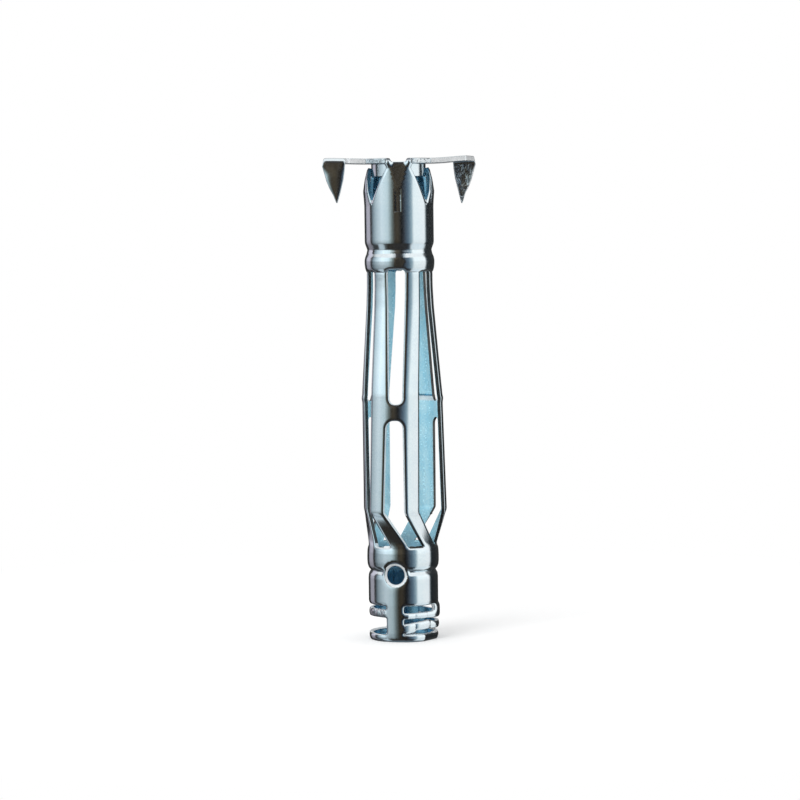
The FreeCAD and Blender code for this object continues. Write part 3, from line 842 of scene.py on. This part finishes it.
def flange_point(x, y, lift, stretch):
    """Middle of the sheet for a flat point of the right half flange, whose arm is bent up a little."""
    x, y = np.broadcast_arrays(np.asarray(x, float), np.asarray(y, float))
    out = np.hypot(x, y)
    beyond, drop = bent_down(np.maximum(BORE_EDGE - out, 0))
    lip = (x < 5) & (out < BORE_EDGE)
    share = np.where(lip, (BORE_EDGE - beyond) / np.maximum(out, 1e-6), 1)
    claw = (y > CLAW_FOLD) & (x > CLAW_LEFT - 0.08)
    claw_beyond, claw_drop = bent_down(np.maximum(y - CLAW_FOLD, 0))
    # the claw bows a little across its width, and its inner root turns back into the fold
    bow = CLAW_BOW * ramp(claw_drop, 0.3, 2.0) * (1 - ((x - CLAW_TIP) / 1.3) ** 2)
    height = PLATE_MIDDLE - np.where(lip, drop, 0) - np.where(claw, claw_drop, 0)
    height = height + lift * ramp(x, 3.6, 8.4)
    along = np.where(claw, CLAW_FOLD + claw_beyond + bow, y * share)
    return np.stack([x * share + stretch * ramp(x, 3.6, 6.2), along, height], axis=-1)


def claw_spot(x, height, radius=0.0):
    """Flat place of a point of the claw, given by its height on the finished anchor."""
    return (x, CLAW_FOLD + BEND_LENGTH + (PLATE_MIDDLE - BEND - height), radius)


def polar(radius, angle, corner=0.0):
    """Corner of a flat outline at a distance and an angle from the axis."""
    return (radius * math.cos(math.radians(angle)), radius * math.sin(math.radians(angle)), corner)


def flange_outline(lift, claw_reach):
    """Flat outline of the right half plate, with its arm, its claw and its lip."""
    outer = math.degrees(math.acos(HALVES_APART / FLANGE_RADIUS))
    arm = math.degrees(math.asin(ARM_HALF / FLANGE_RADIUS))
    end = math.sqrt(FLANGE_RADIUS ** 2 - HALVES_APART ** 2)
    front = [(HALVES_APART, -end, 0.25)]
    front += [polar(FLANGE_RADIUS, angle) for angle in np.linspace(-outer + 4, -arm - 3, 10)]
    front += [polar(FLANGE_RADIUS, -arm, 0.3), (ARM_REACH - ARM_STEP, -ARM_HALF, 0.25),
              (ARM_REACH - 0.2, CLAW_FOLD, 0.2)]
    claw = [claw_spot(ARM_REACH + 0.02, 55.6, 0.3)]
    claw += [claw_spot(x, height, 1.0) for height, x in CLAW_OUTER]
    claw.append(claw_spot(CLAW_TIP, TOTAL_HEIGHT - claw_reach - lift, 0.1))
    claw += [claw_spot(x, height, 1.0) for height, x in CLAW_INNER]
    claw += [claw_spot(CLAW_LEFT + 0.1, 55.2, 0.4), (CLAW_LEFT - 0.02, CLAW_FOLD + 0.05, 0.12),
             (CLAW_LEFT - 0.3, CLAW_FOLD + 0.1, 0.12), (CLAW_LEFT - 0.35, ARM_HALF, 0.2)]
    back = [polar(FLANGE_RADIUS, arm, 0.3)]
    back += [polar(FLANGE_RADIUS, angle) for angle in np.linspace(arm + 3, outer - 4, 10)]
    back.append((HALVES_APART, end, 0.25))
    lip = [polar(BORE_EDGE + 0.12, LIP_HALF_ANGLE + 2, 0.12), polar(LIP_END, LIP_HALF_ANGLE, 0.1)]
    lip += [polar(LIP_END, angle) for angle in np.linspace(LIP_HALF_ANGLE - 8, -LIP_HALF_ANGLE + 8, 14)]
    lip += [polar(LIP_END, -LIP_HALF_ANGLE, 0.1), polar(BORE_EDGE + 0.12, -LIP_HALF_ANGLE - 2, 0.12)]
    return round_corners(front + claw + back + lip, 0.18)


def flange_half(lift, stretch, claw_reach):
    """Right half of the flange, drawn flat and then folded."""
    lattice = [polar(radius, angle, 0.1)
               for radius in np.arange(LIP_END + 0.12, BORE_EDGE + 0.2, 0.1)
               for angle in np.arange(-72, 73, 5.0)]
    rows = row_heights([(-4.3, 1.3, 0.3), (1.3, 2.3, 0.09), (2.3, 6.8, 0.25)])
    lattice += [spot for spot in grid(rows, 0, 9, PLATE_STEP)
                if math.hypot(spot[0], spot[1]) > BORE_EDGE + 0.25]
    return sheet_mesh(flange_outline(lift, claw_reach), [], [], np.array(lattice),
                      lambda x, y: flange_point(x, y, lift, stretch), PLATE_GAUGE, PLATE_ROLL)


# Materials

GRAIN_DEPTH = 0.00002
CRUMPLE_DEPTH = 0.0004


def empty_tree(owner):
    """Node tree of a material or world, with nothing in it."""
    owner.use_nodes = True
    owner.node_tree.nodes.clear()
    return owner.node_tree


def node(tree, kind, inputs=None, **settings):
    """A new node, its inputs linked or set to values."""
    made = tree.nodes.new("ShaderNode" + kind)
    for key, value in settings.items():
        setattr(made, key, value)
    for key, value in (inputs or {}).items():
        if hasattr(value, "is_output"):
            tree.links.new(value, made.inputs[key])
        else:
            made.inputs[key].default_value = value
    return made


def wire(tree, kind, inputs=None, **settings):
    """The first output of a new node."""
    return node(tree, kind, inputs, **settings).outputs[0]


def mapped(tree, value, start, stop, low=0.0, high=1.0, smoothness="LINEAR"):
    """From low to high, as the value goes from start to stop."""
    reach = {"Value": value, "From Min": start, "From Max": stop, "To Min": low, "To Max": high}
    return wire(tree, "MapRange", reach, interpolation_type=smoothness)


def ramp_node(tree, factor, stops):
    """Colours between the stops, by the factor; one number stands for a grey."""
    made = node(tree, "ValToRGB", {0: factor})
    elements = made.color_ramp.elements
    while len(elements) < len(stops):
        elements.new(0.5)
    for element, (place, colour) in zip(elements, stops):
        element.position = place
        element.color = (*(colour if isinstance(colour, tuple) else (colour,) * 3), 1)
    return made.outputs[0]


def plated(name, pale, deep, rough_low, rough_high, grain, bump, metallic=1.0, crumple=0.0):
    """Zinc plating with a passivated tint: clouded colour, drawn streaks and fine grain."""
    material = bpy.data.materials.new(name)
    tree = empty_tree(material)
    place = node(tree, "TexCoord").outputs["Object"]
    clouds = wire(tree, "TexNoise", {"Vector": place, "Scale": 420.0, "Detail": 4.0, "Roughness": 0.6})
    drawn = wire(tree, "Mapping", {"Vector": place, "Scale": (1.0, 1.0, 0.06)})
    streaks = wire(tree, "TexNoise", {"Vector": drawn, "Scale": 2600.0, "Detail": 3.0})
    fine = wire(tree, "TexNoise", {"Vector": place, "Scale": grain, "Detail": 2.0})
    specks = wire(tree, "Math", {0: clouds, 1: fine}, operation="ADD")
    half = wire(tree, "Math", {0: specks, 1: 0.5}, operation="MULTIPLY")
    colour = ramp_node(tree, half, [(0.38, deep), (0.62, pale)])
    mixed = wire(tree, "Math", {0: streaks, 1: fine}, operation="ADD")
    rough = mapped(tree, mixed, 0.7, 1.3, rough_low, rough_high)
    lifted = wire(tree, "Bump", {"Strength": bump, "Distance": GRAIN_DEPTH, "Height": mixed})
    if crumple:
        shape = {"Vector": place, "Scale": 1300.0, "Detail": 3.0, "Distortion": 0.8}
        dents = {"Height": wire(tree, "TexNoise", shape), "Strength": 0.6, "Distance": crumple}
        lifted = wire(tree, "Bump", {**dents, "Normal": lifted})
    looks = {"Base Color": colour, "Metallic": metallic, "Roughness": rough, "Normal": lifted}
    node(tree, "OutputMaterial", {0: wire(tree, "BsdfPrincipled", looks)})
    return material


outside = plated("plated_outside", (0.82, 0.89, 0.92), (0.74, 0.83, 0.88), 0.07, 0.17, 5000.0, 0.1)
# The inside: a deeper, bluer copy of the plating, which paints the shade and the reflections between
# the inner faces
inside = plated("plated_inside_painted_shade", (0.62, 0.90, 0.98), (0.42, 0.76, 0.90), 0.16, 0.3, 5000.0, 0.12,
                metallic=0.3)
# Painted shade: a dark navy copy of the plating, for the inside of the sleeve and the collar, the
# petals' edges at the top windows and a line above the knee crease
deep_shade = plated("plated_deep_shade", (0.26, 0.50, 0.64), (0.10, 0.30, 0.46), 0.1, 0.22, 5000.0, 0.2,
              metallic=0.8)
# Painted shade: a near-black copy of the cut edge, for the cut edges that face the sides
edge_shade = plated("cut_edge_shade", (0.13, 0.13, 0.125), (0.05, 0.05, 0.05), 0.3, 0.5, 7000.0, 0.35)
claw = plated("plated_claw", (0.84, 0.88, 0.9), (0.55, 0.6, 0.64), 0.1, 0.3, 4000.0, 0.3,
              crumple=CRUMPLE_DEPTH)
# Pale cut edges; the same finish paints highlights on a ring round the hole and on a band at the knee
# crease
cut = plated("plated_cut_edge_and_highlight", (0.97, 0.98, 0.99), (0.82, 0.86, 0.88), 0.35, 0.55, 7000.0, 0.35,
             metallic=0.5)


# Pieces

CAGE_FROM, CAGE_TO = 10.3, 43.3
# Bands on the inside at the knee crease, by height past the crease: a painted highlight below, a
# painted shade line above
PAINTED_HIGHLIGHT_BAND = (-0.4, 0.1)
PAINTED_SHADE_LINE = (0.1, 0.3)
WINDOW_SIDE = 2.9
FRONT_EDGES = 55
RIGHT_OF_SLOTS = 0.4
CRUMPLED_STRIP = (2.7, 3.9)


def piece(name, parts):
    """One mesh object from several sheets, in metres, with their own normals."""
    vertices, faces, kinds, normals = [], [], [], []
    start = 0
    for part_vertices, part_faces, part_kinds, part_normals in parts:
        vertices.append(part_vertices)
        normals.append(part_normals)
        faces += [tuple(int(corner) + start for corner in face) for face in part_faces]
        kinds += part_kinds
        start += len(part_vertices)
    mesh = bpy.data.meshes.new(name)
    mesh.from_pydata([tuple(spot) for spot in np.concatenate(vertices) * MM], [], faces)
    for material in (outside, inside, cut, deep_shade, claw, edge_shade):
        mesh.materials.append(material)
    mesh.polygons.foreach_set("material_index", kinds)
    mesh.polygons.foreach_set("use_smooth", [True] * len(faces))
    mesh.validate()
    mesh.normals_split_custom_set_from_vertices([tuple(way) for way in np.concatenate(normals)])
    made = bpy.data.objects.new(name, mesh)
    scene.collection.objects.link(made)
    return made


def tube_kind(kind, spot):
    """Finish of a face of the tube, by where it lies: painted shade in the bore, on the petals' edges
    at the top windows, on the cage's side edges and on a line above the knee crease, and painted
    highlights on a band at the crease and on a ring round the hole.
    """
    across, depth, height = spot
    around = math.degrees(math.atan2(across, -depth))
    in_cage = CAGE_FROM < height < CAGE_TO
    past_ridge = height - RIDGE_HEIGHT
    # painted shade: the inside of the sleeve and the collar, and a line just above the knee crease, get
    # the dark navy finish
    if kind == INSIDE and (not in_cage or PAINTED_SHADE_LINE[0] < past_ridge < PAINTED_SHADE_LINE[1]):
        return DEEP_SHADE
    # painted highlight: a pale band along the knee crease, below the painted shade line
    if kind == INSIDE and PAINTED_HIGHLIGHT_BAND[0] < past_ridge <= PAINTED_HIGHLIGHT_BAND[1]:
        return CUT_AND_HIGHLIGHT
    # painted shade: the petals' cut edges at the sides of the top windows are made dark navy
    if kind == CUT_AND_HIGHLIGHT and height > WINDOW_SILL + 0.3 and abs(across) > WINDOW_SIDE:
        return DEEP_SHADE
    from_hole = math.hypot(unrolled(around - HOLE_ANGLE), height - HOLE_HEIGHT)
    # painted highlight: a pale ring round the hole, in the cut edge's finish
    if kind == OUTSIDE and from_hole < HOLE_RADIUS + HOLE_RING:
        return CUT_AND_HIGHLIGHT
    # painted shade: the cage's cut edges at the sides, and those right of the slots below the ankle,
    # are made near black
    at_side = abs(around) > FRONT_EDGES or (height < ANKLE and across > RIGHT_OF_SLOTS)
    if kind == CUT_AND_HIGHLIGHT and in_cage and at_side:
        return EDGE_SHADE
    left_strip = CRUMPLED_STRIP[0] < height < CRUMPLED_STRIP[1] and -BACK_BRIDGE < around < BRIDGE_LEFT
    if kind == OUTSIDE and left_strip:
        return CLAW
    return kind


def flange_kind(kind, spot):
    """Finish of a face of the flange: both its skins are alike, and the disc's rim takes the claw's
    darker, mottled finish.
    """
    across, depth, height = spot
    if across > CLAW_LEFT - 0.1 and height < PLATE_MIDDLE - 0.4 and kind == INSIDE:
        return CLAW
    if kind == CUT_AND_HIGHLIGHT and math.hypot(across, depth) < FLANGE_RADIUS + 0.1:
        return CLAW
    return OUTSIDE if kind == INSIDE else kind


def sorted_out(part, kind_of, turned=False):
    """The sheet with the finish of each face settled, turned half round where asked."""
    vertices, faces, kinds, normals = part
    way = np.array([-1.0, -1.0, 1.0]) if turned else np.ones(3)
    kinds = [kind_of(kind, vertices[list(face)].mean(axis=0)) for kind, face in zip(kinds, faces)]
    return vertices * way, faces, kinds, normals * way


right_half = sorted_out(flange_half(*RIGHT_ARM), flange_kind)
left_half = sorted_out(flange_half(*LEFT_ARM), flange_kind, turned=True)
anchor = piece("anchor_sheet", [sorted_out(anchor_tube(), tube_kind), right_half, left_half])
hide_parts("anchor_sleeve")
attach(anchor, "root")


# Floor, world and lamps

SHADOW_REACH = (0.03, 0.09)


def floor_material():
    """Matte white near the object, and plain white further out; metal doesn't see it."""
    material = bpy.data.materials.new("floor")
    tree = empty_tree(material)
    matte = wire(tree, "BsdfDiffuse", {"Color": (0.9, 0.9, 0.9, 1)})
    white = wire(tree, "Emission")
    clear = wire(tree, "BsdfTransparent")
    place = node(tree, "TexCoord").outputs["Object"]
    away = node(tree, "VectorMath", {0: place}, operation="LENGTH").outputs["Value"]
    seen = wire(tree, "MixShader", {0: mapped(tree, away, *SHADOW_REACH), 1: matte, 2: white})
    ray = node(tree, "LightPath")
    metal = wire(tree, "Math", {0: ray.outputs["Is Glossy Ray"], 1: ray.outputs["Is Transmission Ray"]},
                operation="MAXIMUM")
    node(tree, "OutputMaterial", {0: wire(tree, "MixShader", {0: metal, 1: seen, 2: clear})})
    return material


def add_floor():
    """Bench under the anchor's end."""
    bpy.ops.mesh.primitive_plane_add(size=4.0, location=(0, 0, 0))
    floor = bpy.context.object
    floor.name = "floor"
    floor.data.materials.append(floor_material())


# What the metal sees round the horizon, by degrees from the front towards the right
STUDIO = [
    (-180, 0.4), (-174, 0.35), (-167, 0.06), (-150, 0.03), (-143, 0.05), (-138, (0.45, 0.42, 0.48)),
    (-116, (0.5, 0.46, 0.52)), (-111, 0.03), (-104, 0.05), (-100, (0.16, 0.2, 0.23)),
    (-84, (0.45, 0.53, 0.57)), (-60, (0.74, 0.83, 0.87)), (-38, (0.6, 0.71, 0.74)),
    (-24, (0.17, 0.2, 0.19)), (-16, (0.05, 0.04, 0.028)), (-6, (0.06, 0.046, 0.03)),
    (2, (0.03, 0.024, 0.018)), (8, 0.006), (16, (0.03, 0.035, 0.045)), (30, (0.1, 0.15, 0.2)),
    (42, (0.3, 0.4, 0.46)), (50, (0.95, 1.0, 1.0)), (94, 1.0), (101, (0.1, 0.12, 0.13)),
    (106, (0.015, 0.018, 0.02)), (150, 0.03), (167, 0.06), (175, 0.35), (180, 0.4)]

# What it sees below the horizon, straight down, above the horizon and straight up
BELOW = [
    (-180, 0.05), (-125, 0.03), (-112, (0.2, 0.22, 0.25)), (-104, 0.03), (-86, 0.04),
    (-80, (0.5, 0.58, 0.64)), (-64, (0.5, 0.58, 0.62)), (-56, (0.1, 0.11, 0.11)),
    (-46, (0.03, 0.025, 0.02)), (30, (0.02, 0.02, 0.022)), (40, (0.05, 0.07, 0.09)),
    (50, (0.75, 0.82, 0.86)), (104, (0.9, 0.95, 0.97)), (112, 0.04), (180, 0.05)]
DOWN = (0.13, 0.155, 0.175, 1)
ABOVE = [
    (-180, 0.8), (-30, 1.0), (-17, 0.5), (-13, (0.06, 0.05, 0.045)), (11, 0.03),
    (18, (0.4, 0.45, 0.5)), (28, 1.0), (96, 1.0), (103, 0.2), (140, 0.2), (180, 0.8)]
WHITE = (1, 1, 1, 1)

# Brightness of that horizon from a little below it to a little above it
GAINS = [(0.0, 0.36), (0.25, 0.5), (0.48, 0.58), (0.58, 0.68), (0.84, 1.0)]
BRIGHTEST_GAIN = 1.4


def horizon_gain(tree, turn, up):
    """Brightness of the horizon: it grows upwards, and evens out towards the right."""
    gain = ramp_node(tree, mapped(tree, up, -0.3, 0.2), GAINS)
    lifted = wire(tree, "VectorMath", {0: gain, "Scale": BRIGHTEST_GAIN}, operation="SCALE")
    rightward = mapped(tree, turn, -0.2, 0.5, 0.0, 0.75)
    return wire(tree, "MixRGB", {0: rightward, 1: lifted, 2: WHITE})


def studio(tree):
    """Soft boxes with dark flags between them, by the way in which the metal looks."""
    way = node(tree, "SeparateXYZ", {0: node(tree, "TexCoord").outputs["Generated"]})
    back = wire(tree, "Math", {0: way.outputs[1], 1: -1.0}, operation="MULTIPLY")
    turn = wire(tree, "Math", {0: way.outputs[0], 1: back}, operation="ARCTAN2")
    up = way.outputs[2]
    share = mapped(tree, turn, -math.pi, math.pi)
    tables = [[((angle + 180) / 360, colour) for angle, colour in table]
              for table in (STUDIO, BELOW, ABOVE)]
    around, below, above = [ramp_node(tree, share, table) for table in tables]
    seen = wire(tree, "VectorMath", {0: around, 1: horizon_gain(tree, turn, up)}, operation="MULTIPLY")
    zones = ((-0.33, -0.5, below), (-0.72, -0.86, DOWN), (0.38, 0.55, above), (0.85, 0.96, WHITE))
    for start, stop, colour in zones:
        reach = mapped(tree, up, start, stop, smoothness="SMOOTHSTEP")
        seen = wire(tree, "MixRGB", {0: reach, 1: seen, 2: colour})
    return seen


def world():
    """White round the object; only metal sees the studio."""
    made = bpy.data.worlds.new("studio")
    scene.world = made
    tree = empty_tree(made)
    metal_view = wire(tree, "Background", {"Color": studio(tree)})
    plain = wire(tree, "Background", {"Color": WHITE})
    ray = node(tree, "LightPath")
    mixed = wire(tree, "MixShader", {0: ray.outputs["Is Glossy Ray"], 1: plain, 2: metal_view})
    node(tree, "OutputWorld", {0: mixed})


def lamp(name, place, size, power):
    """Square lamp that shines on the anchor and isn't mirrored in it."""
    data = bpy.data.lights.new(name, "AREA")
    data.size = size
    data.energy = power
    made = bpy.data.objects.new(name, data)
    made.location = place
    aim = Vector((0, 0, 0.03)) - Vector(place)
    made.rotation_euler = aim.to_track_quat("-Z", "Y").to_euler()
    made.visible_glossy = False
    scene.collection.objects.link(made)


# Camera, placed as the photograph's lines say

PICTURE = 800
FOCAL_PIXELS = 2800.9
CAMERA_DISTANCE = 330.0
ELEVATION = 3.6
ROLL = 0.69
AIM = Vector((-0.14, 0.0, 28.2))
SENSOR = 36.0


def add_camera():
    """Camera of the photograph."""
    data = bpy.data.cameras.new("camera")
    data.sensor_width = SENSOR
    data.lens = FOCAL_PIXELS * SENSOR / PICTURE
    data.clip_start = 0.01
    data.clip_end = 20
    camera = bpy.data.objects.new("camera", data)
    scene.collection.objects.link(camera)
    tilt = math.radians(ELEVATION)
    forward = Vector((0, math.cos(tilt), -math.sin(tilt)))
    right = Vector((1, 0, 0))
    up = right.cross(forward)
    roll = math.radians(-ROLL)
    rolled_right = right * math.cos(roll) + up * math.sin(roll)
    rolled_up = up * math.cos(roll) - right * math.sin(roll)
    place = (AIM - forward * CAMERA_DISTANCE) * MM
    turn = Matrix((rolled_right, rolled_up, -forward)).transposed().to_4x4()
    camera.matrix_world = Matrix.Translation(place) @ turn
    scene.camera = camera


add_floor()
world()
lamp("key_lamp", (-0.25, -0.3, 0.45), 0.3, 1.2)
add_camera()
scene.view_settings.view_transform = "Standard"
